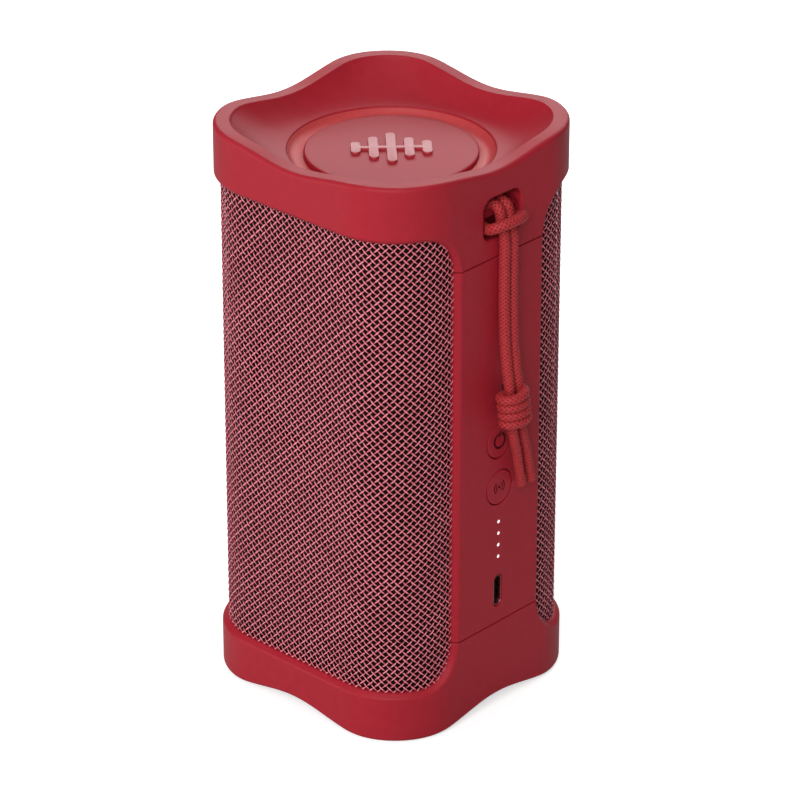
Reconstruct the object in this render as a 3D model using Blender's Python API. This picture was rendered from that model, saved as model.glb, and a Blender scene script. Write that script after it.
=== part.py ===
"""Portable party speaker: a tall rounded-square tower with crowned end caps.

Frame: metres, +Z up, origin at the bottom centre, where the four feet of the
lower cap touch the ground. -Y is the front grille, +Y the back grille, +X the
control spine with the wrist strap, -X the spine with the volume keys.
"""

import math

import bmesh
import bpy
from mathutils import Matrix, Vector

MM = 0.001

# ---------------------------------------------------------------- dimensions
HEIGHT = 165.9          # feet to the highest points of the crown
HALF = 40.0             # half width across flats of the caps
CORNER_R = 21.5         # plan radius of the four body corners
GAP = 0.3               # clearance between neighbouring mouldings

CROWN_TOP_DIP = 3.0     # dip of the upper rim in the middle of each face
CROWN_BOT_DIP = 3.3     # height of the arch under each face
CROWN_FLAT = 0.86       # share of the half face after which the rim is level
CROWN_POWER = 5

WINDOW_TOP = 149.6      # grille window, at the grille surface
WINDOW_BOT = 14.9
WINDOW_R = 11.5         # concave radius of the window corners
WINDOW_SIDE = 17.3      # window side, measured round the body from a spine's middle
BEVEL = 1.2             # bevel round the window
GRILLE_INSET = 1.7
GRILLE_T = 0.8
CAP_WALL = 2.8
BOX_INSET = 3.1
BOX_T = 2.0

RIM_FILLET = 1.5
RIM_FLAT_IN = 4.2
RIM_IN = 5.0
WELL_R = 28.0           # opening of the radiator well in the cap
WELL_Z = 157.1          # height of the well's lip on the upper cap
PLATE_R = 23.55         # passive radiator plate
PLATE_TOP = 156.5
RADIATOR_SEGS = 32

SLOT_HALF_W = 7.4       # strap slot in the upper cap, +X face
SLOT_BOT = 143.6
SLOT_TOP = 155.5
SLOT_BACK = 30.8
BAR_X, BAR_Z, BAR_R = 35.9, 149.5, 1.3
CORD_R = 1.55           # round braided cord

BUTTON_R = 5.0
BUTTON_HOLE_R = 5.3
POWER_Z, PAIR_Z = 82.7, 68.5
KEY_ZS = {"volume_up": 97.0, "play": 83.0, "volume_down": 69.0}
LED_ZS = (57.8, 54.2, 50.6, 47.0)
USB_Z = 36.3

DRIVER_Z = 98.0

FLAT = HALF - CORNER_R
ARC = CORNER_R * math.pi / 2
QUARTER = 2 * FLAT + ARC
PERIM = 4 * QUARTER
SPINE_TOP = WINDOW_TOP - WINDOW_R
SPINE_BOT = WINDOW_BOT + WINDOW_R

# ---------------------------------------------------------------- clear scene
for ob in list(bpy.data.objects):
    bpy.data.objects.remove(ob, do_unlink=True)

MATS = {}


def material(name, color, rough, metal=0.0):
    if name not in MATS:
        m = bpy.data.materials.new(name)
        m.use_nodes = True
        p = m.node_tree.nodes["Principled BSDF"]
        p.inputs["Base Color"].default_value = (*color, 1.0)
        p.inputs["Roughness"].default_value = rough
        p.inputs["Metallic"].default_value = metal
        MATS[name] = m
    return MATS[name]


RED = ("soft_touch_red", (0.37, 0.033, 0.042), 0.55)
MESH_RED = ("woven_red", (0.42, 0.07, 0.10), 0.6)
CORD_RED = ("cord_red", (0.48, 0.03, 0.035), 0.8)
BLACK = ("black_plastic", (0.012, 0.010, 0.011), 0.6)
CONE = ("cone_black", (0.02, 0.02, 0.02), 0.7)
RUBBER = ("black_rubber", (0.015, 0.015, 0.015), 0.75)
STEEL = ("steel", (0.55, 0.55, 0.56), 0.35, 1.0)
PCB = ("board_green", (0.02, 0.12, 0.05), 0.5)
CELL = ("cell_wrap", (0.05, 0.16, 0.35), 0.45)
COPPER = ("copper", (0.75, 0.33, 0.18), 0.35, 1.0)
LENS = ("white_lens", (0.8, 0.8, 0.8), 0.25)


def add(name, verts, faces, mat, smooth=True):
    """New object from points in millimetres."""
    me = bpy.data.meshes.new(name)
    me.from_pydata([tuple(c * MM for c in v) for v in verts], [], faces)
    me.validate()
    bm = bmesh.new()
    bm.from_mesh(me)
    bmesh.ops.recalc_face_normals(bm, faces=bm.faces)
    if bm.calc_volume(signed=True) < 0:
        bmesh.ops.reverse_faces(bm, faces=bm.faces)
    bm.to_mesh(me)
    bm.free()
    me.materials.append(material(*mat))
    ob = bpy.data.objects.new(name, me)
    bpy.context.scene.collection.objects.link(ob)
    if smooth:
        me.shade_smooth()
        me.set_sharp_from_angle(angle=math.radians(35))
    return ob


def cutter(ob):
    ob.hide_render = True
    ob.display_type = "WIRE"
    return ob


def boolean(ob, other, op):
    mod = ob.modifiers.new(other.name, "BOOLEAN")
    mod.operation = op
    mod.solver = "EXACT"
    mod.object = cutter(other)


def box(name, lo, hi, mat, smooth=False):
    (a, b, c), (d, e, f) = lo, hi
    v = [(a, b, c), (d, b, c), (d, e, c), (a, e, c), (a, b, f), (d, b, f), (d, e, f), (a, e, f)]
    fs = [(0, 3, 2, 1), (4, 5, 6, 7), (0, 1, 5, 4), (1, 2, 6, 5), (2, 3, 7, 6), (3, 0, 4, 7)]
    return add(name, v, fs, mat, smooth)


def prism(name, outline, lo, hi, axis, mat, smooth=True):
    """Extrude a closed 2-D outline along X, Y or Z between lo and hi."""
    n = len(outline)

    def put(u, v, w):
        return {"X": (w, u, v), "Y": (u, w, v), "Z": (u, v, w)}[axis]

    verts = [put(u, v, lo) for u, v in outline] + [put(u, v, hi) for u, v in outline]
    faces = [tuple(range(n))[::-1], tuple(range(n, 2 * n))]
    faces += [(i, (i + 1) % n, n + (i + 1) % n, n + i) for i in range(n)]
    return add(name, verts, faces, mat, smooth)


def lathe(name, profile, segs, axis, centre, mat, closed_ring):
    """Revolve (radius, height) points about an axis through centre.

    closed_ring: the profile is a closed loop clear of the axis; otherwise it
    starts and ends on the axis.
    """
    verts, faces, rings = [], [], []
    cx, cy, cz = centre

    def put(r, h, a):
        u, v = r * math.cos(a), r * math.sin(a)
        if axis == "Z":
            return (cx + u, cy + v, cz + h)
        if axis == "Y":
            return (cx + u, cy + h, cz + v)
        return (cx + h, cy + u, cz + v)

    for r, h in profile:
        if r < 1e-9:
            verts.append(put(0, h, 0))
            rings.append([len(verts) - 1] * segs)
        else:
            base = len(verts)
            verts += [put(r, h, 2 * math.pi * k / segs) for k in range(segs)]
            rings.append(list(range(base, base + segs)))
    m = len(profile)
    for i in range(m if closed_ring else m - 1):
        a, b = rings[i], rings[(i + 1) % m]
        for k in range(segs):
            k2 = (k + 1) % segs
            f = [a[k], a[k2], b[k2], b[k]]
            f = [x for j, x in enumerate(f) if x != f[j - 1]]
            if len(set(f)) >= 3:
                faces.append(tuple(f))
    return add(name, verts, faces, mat)


def obround(half_len, r, n=6):
    """Outline of a slot, long along the second coordinate."""
    pts = []
    for k in range(n + 1):
        a = math.pi * k / n
        pts.append((r * math.cos(a), half_len - r + r * math.sin(a)))
    for k in range(n + 1):
        a = math.pi + math.pi * k / n
        pts.append((r * math.cos(a), -(half_len - r) + r * math.sin(a)))
    return pts


def round_rect(hu, hv, r, n=4, cu=0.0, cv=0.0):
    pts = []
    for qx, qy, a0 in ((1, 1, 0), (-1, 1, 90), (-1, -1, 180), (1, -1, 270)):
        for k in range(n + 1):
            a = math.radians(a0 + 90 * k / n)
            pts.append((cu + qx * (hu - r) + r * math.cos(a), cv + qy * (hv - r) + r * math.sin(a)))
    return pts


# ------------------------------------------------------- rounded-square plan
def station(s):
    """Point and outward normal on the cap outline, s mm round from +X's middle."""
    s = s % PERIM
    k = int((s + FLAT) // QUARTER) % 4
    local = s - k * QUARTER if s + FLAT < PERIM else s - PERIM
    if local <= FLAT:
        p, n = (HALF, local), (1.0, 0.0)
    else:
        th = (local - FLAT) / CORNER_R
        n = (math.cos(th), math.sin(th))
        p = (FLAT + CORNER_R * n[0], FLAT + CORNER_R * n[1])
    c, d = ((1, 0), (0, 1), (-1, 0), (0, -1))[k]
    return (c * p[0] - d * p[1], d * p[0] + c * p[1], c * n[0] - d * n[1], d * n[0] + c * n[1])


def inset(s, d):
    x, y, nx, ny = station(s)
    return (x - nx * d, y - ny * d)


def spine_distance(s):
    """Distance round the outline from the nearest spine's middle."""
    s = s % (PERIM / 2)
    return min(s, PERIM / 2 - s)


def crown(s):
    """0 in the middle of a face, 1 on the level part at each corner."""
    q = (s % QUARTER)
    q = min(q, QUARTER - q)
    t = q / (QUARTER / 2)
    return 1.0 if t > CROWN_FLAT else 1 - (1 - t * t) ** CROWN_POWER


def window_rise(q, side, radius):
    """Height of the window edge above its spine parting line."""
    if q <= side:
        return 0.0
    if q >= side + radius:
        return radius
    return math.sqrt(max(0.0, radius ** 2 - (radius - (q - side)) ** 2))


QUARTER_STATIONS = [0, 5, 10.5, WINDOW_SIDE - BEVEL, WINDOW_SIDE, 17.9, 19.0, 20.5, 22.5, 25.5, WINDOW_SIDE + WINDOW_R,
                    31.3, QUARTER / 2, 39.5, 43.5, 48.0, QUARTER - FLAT, 60.0, 65.5]


def faceted_rise(q):
    """window_rise as the cap's facets follow it, so that the panel's edge runs parallel to them."""
    for a, b in zip(QUARTER_STATIONS, QUARTER_STATIONS[1:]):
        if a <= q <= b:
            ra, rb = (window_rise(w, WINDOW_SIDE, WINDOW_R) for w in (a, b))
            return ra + (rb - ra) * (q - a) / (b - a)
    return WINDOW_R


def all_stations():
    out = []
    for base in (0.0, PERIM / 2):
        out += [base + q for q in QUARTER_STATIONS]
        out.append(base + QUARTER)
        out += [base + 2 * QUARTER - q for q in QUARTER_STATIONS[:0:-1]]
    return sorted(out)


def cap_mesh(dip, lip_z, parting):
    """Crowned end cap, drawn as the upper one; parting is its joint line with the spines."""
    stations = all_stations()
    rows = []
    for s in stations:
        x, y, nx, ny = station(s)
        q = spine_distance(s)
        rim = HEIGHT - dip * (1 - crown(s))
        zi = parting + GAP / 2 + window_rise(q, WINDOW_SIDE, WINDOW_R)
        zo = parting + GAP / 2 + window_rise(q, WINDOW_SIDE - BEVEL, WINDOW_R + BEVEL)
        lip = 1.4 * min(1.0, max(0.0, (q - (WINDOW_SIDE - BEVEL)) / BEVEL))
        if lip < 0.01:
            lip, zo = 0.35, zi + 0.35
        a = math.atan2(y, x)
        cx, cy = (WELL_R + 0.6) * math.cos(a), (WELL_R + 0.6) * math.sin(a)
        ix, iy = x - nx * RIM_IN, y - ny * RIM_IN

        def bowl(u, drop=0.0):
            g = 1 - (1 - u) ** 1.7
            top = rim - 0.8
            return (ix + (cx - ix) * u, iy + (cy - iy) * u, top + (lip_z - top) * g - drop)

        def at(d, z):
            return (x - nx * d, y - ny * d, z)

        def ring(r, z):
            return (r * math.cos(a), r * math.sin(a), z)

        rows.append([
            at(lip, zi), at(0, zo), at(0, rim - RIM_FILLET), at(0.44, rim - 0.44), at(RIM_FILLET, rim),
            at(RIM_FLAT_IN, rim), at(RIM_IN, rim - 0.8), bowl(0.3), bowl(0.65), bowl(1.0),
            ring(WELL_R, lip_z - 0.7), ring(WELL_R, 154.0), ring(29.8, 154.0),
            bowl(0.45, 3.4), at(CAP_WALL, rim - 6.0), at(CAP_WALL, zi)])
    m, n = len(rows[0]), len(rows)
    verts = [p for r in rows for p in r]
    faces = []
    for i in range(n):
        j = (i + 1) % n
        for k in range(m):
            k2 = (k + 1) % m
            faces.append((i * m + k, j * m + k, j * m + k2, i * m + k2))
    return verts, faces


def flip(verts):
    return [(x, y, HEIGHT - z) for x, y, z in verts]


# ---------------------------------------------------------------- end caps
v, f = cap_mesh(CROWN_TOP_DIP, WELL_Z, SPINE_TOP)
top_cap = add("top_cap", v, f, RED)
boolean(top_cap, box("strap_boss", (29.8, -9.0, 142.2), (38.4, 9.0, 156.5), RED), "UNION")
boolean(top_cap, prism("strap_slot", round_rect(SLOT_HALF_W, (SLOT_TOP - SLOT_BOT) / 2, 3.0, 4, 0,
                                                (SLOT_TOP + SLOT_BOT) / 2), SLOT_BACK, 42.0, "X", RED), "DIFFERENCE")
boolean(top_cap, lathe("bar_bore", [(0, -8.5), (1.6, -8.5), (1.6, 8.5), (0, 8.5)], 16, "Y",
                       (BAR_X, 0, BAR_Z), STEEL, False), "DIFFERENCE")

v, f = cap_mesh(CROWN_BOT_DIP, WELL_Z, HEIGHT - SPINE_BOT)
bottom_cap = add("bottom_cap", flip(v), f, RED)
FRAME_LOW = HEIGHT - 151.9     # lower face of the lower radiator frame
BOSS_AT = 24.5
for i, (sx, sy) in enumerate(((1, 1), (-1, 1), (-1, -1), (1, -1)), 1):
    boolean(bottom_cap, lathe("boss_%d" % i, [(0, 8.8), (3.2, 8.8), (3.2, FRAME_LOW - GAP), (0, FRAME_LOW - GAP)], 10,
                              "Z", (sx * BOSS_AT, sy * BOSS_AT, 0), RED, False), "UNION")
    boolean(bottom_cap, lathe("pilot_%d" % i, [(0, 10.4), (1.5, 10.4), (1.5, FRAME_LOW + 2), (0, FRAME_LOW + 2)], 8,
                              "Z", (sx * BOSS_AT, sy * BOSS_AT, 0), RED, False), "DIFFERENCE")

# ---------------------------------------------------------------- spines
SPINE_LO, SPINE_HI = SPINE_BOT + GAP / 2, SPINE_TOP - GAP / 2


def spine(name, sign):
    e, b, t = WINDOW_SIDE, WINDOW_SIDE - BEVEL, CAP_WALL
    pts = [(HALF, -b), (HALF, b), (HALF - 1.4, e), (HALF - t, e), (HALF - t, -e), (HALF - 1.4, -e)]
    return prism(name, [(sign * x, y) for x, y in pts], SPINE_LO, SPINE_HI, "Z", RED)


control_spine = spine("control_spine", 1)
rear_spine = spine("rear_spine", -1)


def cylinder_x(name, r, x0, x1, y, z, mat, segs=18):
    return lathe(name, [(0, x0), (r, x0), (r, x1), (0, x1)], segs, "X", (0, y, z), mat, False)


for label, z in (("power_hole", POWER_Z), ("pair_hole", PAIR_Z)):
    boolean(control_spine, cylinder_x(label, BUTTON_HOLE_R, 35, 42, 0, z, RED), "DIFFERENCE")
for i, z in enumerate(LED_ZS):
    boolean(control_spine, cylinder_x("led_hole_%d" % i, 1.0, 35, 42, 0, z, RED, 12), "DIFFERENCE")
boolean(control_spine, prism("usb_hole", [(u, w + USB_Z) for u, w in obround(4.95, 1.9)], 35, 42, "X", RED),
        "DIFFERENCE")
for label, z in KEY_ZS.items():
    boolean(rear_spine, cylinder_x(label + "_hole", BUTTON_HOLE_R, -42, -35, 0, z, RED), "DIFFERENCE")


# ---------------------------------------------------------------- grilles
def grille(name, back):
    """Woven mesh panel, wrapped from one spine round two corners to the other."""
    q0 = WINDOW_SIDE + GAP
    half = [q0] + [q for q in QUARTER_STATIONS if q > q0]
    ss = half + [QUARTER] + [2 * QUARTER - q for q in half[::-1]]
    verts, faces = [], []
    for s in ss:
        w = s + (0 if back else PERIM / 2)
        q = spine_distance(w)
        rise = faceted_rise(q)
        zt, zb = SPINE_TOP + rise - GAP / 2, SPINE_BOT - rise + GAP / 2
        o, i = inset(w, GRILLE_INSET), inset(w, GRILLE_INSET + GRILLE_T)
        verts += [(*o, zb), (*o, zt), (*i, zt), (*i, zb)]
    n = len(ss)
    for k in range(n - 1):
        for c in range(4):
            c2 = (c + 1) % 4
            faces.append((4 * k + c, 4 * k + 4 + c, 4 * k + 4 + c2, 4 * k + c2))
    faces += [(0, 1, 2, 3), (4 * n - 1, 4 * n - 2, 4 * n - 3, 4 * n - 4)]
    return add(name, verts, faces, MESH_RED)


grille("front_grille", False)
grille("back_grille", True)

# ---------------------------------------------------------------- inner enclosure
ENC_LO, ENC_HI = 15.1, 149.4
verts, faces = [], []
enc_s = []
for k in range(4):
    enc_s += [k * QUARTER + FLAT + ARC * j / 6 for j in range(7)]
enc_s = sorted(set(round(s, 6) for s in enc_s))
for s in enc_s:
    o, i = inset(s, BOX_INSET), inset(s, BOX_INSET + BOX_T)
    verts += [(*o, ENC_LO), (*o, ENC_HI), (*i, ENC_HI), (*i, ENC_LO)]
n = len(enc_s)
for k in range(n):
    j = (k + 1) % n
    for c in range(4):
        c2 = (c + 1) % 4
        faces.append((4 * k + c, 4 * j + c, 4 * j + c2, 4 * k + c2))
enclosure = add("enclosure", verts, faces, BLACK)
boolean(enclosure, box("strap_notch", (27.3, -9.61, 141.07), (45.2, 9.63, 153.1), BLACK), "DIFFERENCE")
boolean(enclosure, box("control_window", (30.1, -9.02, 28.53), (45.3, 9.04, 92.07), BLACK), "DIFFERENCE")
boolean(enclosure, box("key_window", (-45.1, -9.03, 60.04), (-30.2, 9.01, 106.09), BLACK), "DIFFERENCE")
for nm, y0, y1 in (("front_driver_hole", -45, -30), ("rear_driver_hole", 30, 45)):
    boolean(enclosure, lathe(nm, [(0, y0), (17.4, y0), (17.4, y1), (0, y1)], 28, "Y", (0, 0, DRIVER_Z), BLACK, False),
            "DIFFERENCE")


# ---------------------------------------------------------------- passive radiators
def radiator(prefix, up):
    def z(h):
        return h if up else HEIGHT - h

    def pts(profile):
        return [(r, z(h)) for r, h in profile]

    lathe(prefix + "_radiator_plate",
          pts([(0, PLATE_TOP), (PLATE_R - 0.4, PLATE_TOP), (PLATE_R, PLATE_TOP - 0.4), (PLATE_R, 153.6),
               (22.0, 153.0), (0, 153.0)]), RADIATOR_SEGS, "Z", (0, 0, 0), RED, False)
    lathe(prefix + "_radiator_surround",
          pts([(23.9, 155.0), (25.3, 154.7), (26.7, 155.2), (27.65, 156.3), (27.65, 153.7), (29.3, 153.7),
               (29.3, 152.9), (26.8, 152.9), (25.4, 153.8), (23.9, 154.1)]), RADIATOR_SEGS, "Z", (0, 0, 0), RED, True)


radiator("top", True)
radiator("bottom", False)
lathe("top_radiator_frame", [(25.4, 149.7), (29.3, 149.7), (29.3, 152.6), (25.4, 152.6)], RADIATOR_SEGS, "Z",
      (0, 0, 0), BLACK, True)

# lower frame: ring with four screw ears
ring_in, ring_out = [], []
frame_segs = 48
for k in range(frame_segs):
    a = 2 * math.pi * (k + 0.5) / frame_segs
    off = abs((math.degrees(a) - 45 + 45) % 90 - 45)
    ring_in.append((25.4 * math.cos(a), 25.4 * math.sin(a)))
    r = 38.4 if off < 8 else 29.3
    ring_out.append((r * math.cos(a), r * math.sin(a)))
verts, faces = [], []
for (ix, iy), (ox, oy) in zip(ring_in, ring_out):
    verts += [(ix, iy, FRAME_LOW), (ox, oy, FRAME_LOW), (ox, oy, FRAME_LOW + 2.4), (ix, iy, FRAME_LOW + 2.4)]
for k in range(frame_segs):
    j = (k + 1) % frame_segs
    for c in range(4):
        c2 = (c + 1) % 4
        faces.append((4 * k + c, 4 * j + c, 4 * j + c2, 4 * k + c2))
frame_low = add("bottom_radiator_frame", verts, faces, BLACK)
for i, (sx, sy) in enumerate(((1, 1), (-1, 1), (-1, -1), (1, -1)), 1):
    boolean(frame_low, lathe("ear_hole_%d" % i, [(0, FRAME_LOW - 2), (1.5, FRAME_LOW - 2), (1.5, FRAME_LOW + 4),
                                                 (0, FRAME_LOW + 4)], 8, "Z", (sx * BOSS_AT, sy * BOSS_AT, 0),
                             BLACK, False), "DIFFERENCE")
    head = FRAME_LOW + 2.4 + GAP
    lathe("frame_screw_%d" % i, [(0, 10.8), (1.15, 11.2), (1.15, head), (2.3, head), (2.3, head + 1.4),
                                 (0, head + 1.4)], 8, "Z", (sx * BOSS_AT, sy * BOSS_AT, 0), STEEL, False)

# emblem on the upper plate: five level bars joined by a thin strip
bars = [(-9.6, 3.6), (-4.8, 7.0), (0.0, 9.6), (4.8, 6.2), (9.6, 4.2)]
BAR_HALF, STRIP = 1.35, 0.7
upper = []
for cx, hh in bars:
    for k in range(5):
        a = math.pi - math.pi * k / 4
        upper.append((cx + BAR_HALF * math.cos(a), hh - BAR_HALF + BAR_HALF * math.sin(a)))
outline = []
for i in range(len(bars)):
    seg = upper[5 * i:5 * i + 5]
    outline += [(seg[0][0], STRIP)] + seg + [(seg[-1][0], STRIP)]
outline += [(x, -y) for x, y in outline[::-1]]
ca, sa = math.cos(math.radians(45)), math.sin(math.radians(45))
prism("top_radiator_emblem", [(x * ca - y * sa, x * sa + y * ca) for x, y in outline], PLATE_TOP + 0.25,
      PLATE_TOP + 0.75, "Z", RED, smooth=False)


# ---------------------------------------------------------------- active drivers
def driver(prefix, sign):
    c = (0, 0, DRIVER_Z)

    def pts(profile):
        return [(r, sign * h) for r, h in profile]

    lathe(prefix + "_driver_basket", pts([(17.0, 34.5), (20.4, 34.5), (20.4, 33.3), (17.6, 33.3), (12.8, 24.5),
                                          (11.5, 24.5), (11.5, 25.3), (16.9, 33.6)]), 20, "Y", c, BLACK, True)
    lathe(prefix + "_driver_surround", pts([(13.0, 34.0), (14.0, 35.3), (15.5, 35.3), (16.6, 34.2), (16.6, 33.7),
                                            (15.2, 34.7), (14.2, 34.7), (13.0, 33.5)]), 20, "Y", c, RUBBER, True)
    lathe(prefix + "_driver_cone", pts([(12.65, 34.0), (5.3, 29.3), (5.3, 28.7), (12.65, 33.4)]), 20, "Y", c, CONE,
          True)
    lathe(prefix + "_driver_dust_cap", pts([(0, 31.9), (2.6, 31.4), (4.9, 29.9), (4.9, 29.4), (0, 29.4)]), 20, "Y", c,
          CONE, False)
    lathe(prefix + "_voice_coil", pts([(4.2, 29.1), (4.85, 29.1), (4.85, 20.6), (4.2, 20.6)]), 20, "Y", c, COPPER, True)
    lathe(prefix + "_driver_magnet", pts([(0, 24.2), (3.7, 24.2), (3.7, 18.6), (5.4, 18.6), (5.4, 24.2), (11.0, 24.2),
                                          (11.0, 15.2), (0, 15.2)]), 18, "Y", c, STEEL, False)


driver("front", -1)
driver("rear", 1)

# ---------------------------------------------------------------- power and electronics
for nm, x in (("battery_cell_a", -10.0), ("battery_cell_b", 10.0)):
    lathe(nm, [(0, 24.5), (9.15, 24.5), (9.15, 88.9), (3.0, 88.9), (3.0, 89.5), (0, 89.5)],
          20, "Z", (x, 0, 0), CELL, False)
tray = prism("battery_tray", round_rect(21.2, 11.2, 4.0, 3), 21.6, 31.0, "Z", BLACK)
boolean(tray, prism("tray_hollow", round_rect(19.8, 9.8, 3.0, 3), 24.1, 34.0, "Z", BLACK), "DIFFERENCE")
prism("main_board", round_rect(25.0, 20.0, 2.0, 2), 126.0, 127.6, "Z", PCB, smooth=False)

prism("control_board", round_rect(11.0, 34.0, 1.5, 2, 0, 60.0), 31.4, 33.0, "X", PCB, smooth=False)
prism("key_board", round_rect(11.0, 22.0, 1.5, 2, 0, 83.0), -33.0, -31.4, "X", PCB, smooth=False)


def switch(name, sign, z):
    """Tact switch: square body with a round plunger, turned towards its button."""
    v, body, stem = [], [(-2.6, -2.6), (2.6, -2.6), (2.6, 2.6), (-2.6, 2.6)], []
    prof = [(33.3, 2.6), (34.3, 2.6)]
    for x, h in prof:
        v += [(sign * x, h * a, z + h * b) for a, b in ((-1, -1), (1, -1), (1, 1), (-1, 1))]
    seg = 8
    for x in (34.3, 34.7):
        v += [(sign * x, 1.3 * math.cos(2 * math.pi * (k + 0.5) / seg - 3 * math.pi / 4 - math.pi / 8 - math.pi / 8),
               z + 1.3 * math.sin(2 * math.pi * (k + 0.5) / seg - 3 * math.pi / 4 - math.pi / 8 - math.pi / 8))
              for k in range(seg)]
    f = [(0, 3, 2, 1)]
    f += [(i, (i + 1) % 4, 4 + (i + 1) % 4, 4 + i) for i in range(4)]
    for i in range(4):
        a, b = 8 + 2 * i, 8 + (2 * i + 1) % seg
        c = 8 + (2 * i + 2) % seg
        f += [(4 + i, 4 + (i + 1) % 4, c, b, a)]
    f += [(8 + k, 8 + (k + 1) % seg, 16 + (k + 1) % seg, 16 + k) for k in range(seg)]
    f += [tuple(range(16, 24))]
    return add(name, v, f, BLACK, smooth=False)


switch("power_switch", 1, POWER_Z)
switch("pairing_switch", 1, PAIR_Z)
for label, z in KEY_ZS.items():
    switch(label + "_switch", -1, z)


def button(name, sign, z):
    """Flush round button: face, retaining flange behind the spine and a stem."""
    ob = lathe(name, [(0, 0.0), (BUTTON_R - 0.3, 0.0), (BUTTON_R, -0.3), (BUTTON_R, -3.1), (5.9, -3.1), (5.9, -4.0),
                      (1.4, -4.0), (1.4, -4.5), (0, -4.5)], 18, "X", (0, 0, 0), RED, False)
    if sign < 0:
        ob.data.transform(Matrix.Rotation(math.pi, 4, "Z"))
    ob.location = (sign * HALF * MM, 0, z * MM)
    return ob


button("power_button", 1, POWER_Z)
button("pairing_button", 1, PAIR_Z)
for label, z in KEY_ZS.items():
    button(label + "_button", -1, z)

for i, z in enumerate(LED_ZS, 1):
    cylinder_x("led_light_pipe_%d" % i, 0.7, 33.3, HALF, 0, z, LENS, 12)

shell = prism("usb_c_shell", [(u, w + USB_Z) for u, w in obround(4.6, 1.6)], 33.3, 39.7, "X", STEEL)
boolean(shell, prism("usb_hollow", [(u, w + USB_Z) for u, w in obround(4.3, 1.3)], 33.9, 41.0, "X", STEEL),
        "DIFFERENCE")
box("usb_c_tongue", (34.2, -0.35, USB_Z - 3.35), (38.6, 0.35, USB_Z + 3.35), BLACK)

# ---------------------------------------------------------------- wrist strap
lathe("strap_bar", [(0, -8.2), (BAR_R, -8.2), (BAR_R, 8.2), (0, 8.2)], 16, "Y", (BAR_X, 0, BAR_Z), RED, False)
lathe("strap_hitch", [(1.6, -2.4), (4.3, -2.4), (4.7, -1.9), (4.7, 2.9), (4.3, 3.4), (1.6, 3.4)], 20, "Y",
      (BAR_X, 0, BAR_Z), CORD_RED, True)


def smooth_path(ctrl, count):
    """Catmull-Rom curve through the control points, sampled evenly."""
    p = [Vector(c) for c in ctrl]
    p = [2 * p[0] - p[1]] + p + [2 * p[-1] - p[-2]]
    fine = []
    for i in range(1, len(p) - 2):
        for k in range(24):
            t = k / 24
            fine.append(0.5 * ((2 * p[i]) + (p[i + 1] - p[i - 1]) * t
                               + (2 * p[i - 1] - 5 * p[i] + 4 * p[i + 1] - p[i + 2]) * t * t
                               + (3 * p[i] - p[i - 1] - 3 * p[i + 1] + p[i + 2]) * t * t * t))
    fine.append(p[-2])
    run = [0.0]
    for a, b in zip(fine, fine[1:]):
        run.append(run[-1] + (b - a).length)
    out, j = [], 0
    for k in range(count):
        d = run[-1] * k / (count - 1)
        while j < len(run) - 2 and run[j + 1] < d:
            j += 1
        w = (d - run[j]) / max(1e-9, run[j + 1] - run[j])
        out.append(fine[j].lerp(fine[j + 1], min(1.0, w)))
    return out


def cord(name, ctrl, count, radius=CORD_R):
    cu = bpy.data.curves.new(name, "CURVE")
    cu.dimensions = "3D"
    cu.bevel_depth = radius * MM
    cu.bevel_resolution = 2
    cu.use_fill_caps = True
    sp = cu.splines.new("POLY")
    pts = smooth_path(ctrl, count)
    sp.points.add(len(pts) - 1)
    for q, c in zip(sp.points, pts):
        q.co = (c.x * MM, c.y * MM, c.z * MM, 1)
    cu.materials.append(material(*CORD_RED))
    ob = bpy.data.objects.new(name, cu)
    bpy.context.scene.collection.objects.link(ob)
    return ob


cord("strap_bight", [(37.2, -4.9, 146.2), (39.8, -5.3, 147.4), (42.0, -4.5, 148.3), (43.1, -1.6, 148.6),
                     (43.2, 1.9, 148.6), (42.4, 4.8, 148.3), (40.3, 5.7, 147.5), (37.4, 5.4, 146.2)], 18, 1.5)
for nm, ya, yb in (("strap_strand_left", -1.2, -1.9), ("strap_strand_right", 2.3, 1.6)):
    cord(nm, [(40.4, ya, 146.0), (41.6, ya, 144.9), (42.0, ya, 143.0), (42.1, ya, 136.0), (42.3, ya - 0.3, 124.0),
              (43.3, yb + 0.1, 110.0), (44.6, yb, 101.7)], 12)
lathe("strap_knot", [(0, 88.3), (4.3, 88.3), (5.8, 90.0), (5.8, 99.6), (4.3, 101.3), (0, 101.3)], 20, "Z",
      (0, 0, 0), CORD_RED, False)
knot = bpy.data.objects["strap_knot"]
knot.data.transform(Matrix.Translation((44.85 * MM, -0.1 * MM, 0)) @ Matrix.Diagonal((4.4 / 5.8, 1.0, 1.0, 1.0)))
cord("strap_tail_left", [(44.4, 0.0, 87.4), (44.2, 0.9, 84.3), (43.4, 2.9, 79.5), (42.3, 6.5, 67.5)], 8, 1.45)
cord("strap_tail_right", [(44.2, 3.9, 87.4), (44.0, 4.7, 84.3), (43.3, 6.8, 79.5), (42.3, 10.5, 67.4)], 8, 1.45)
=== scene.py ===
import math

import bpy
import numpy as np
from mathutils import Matrix, Vector


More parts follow.
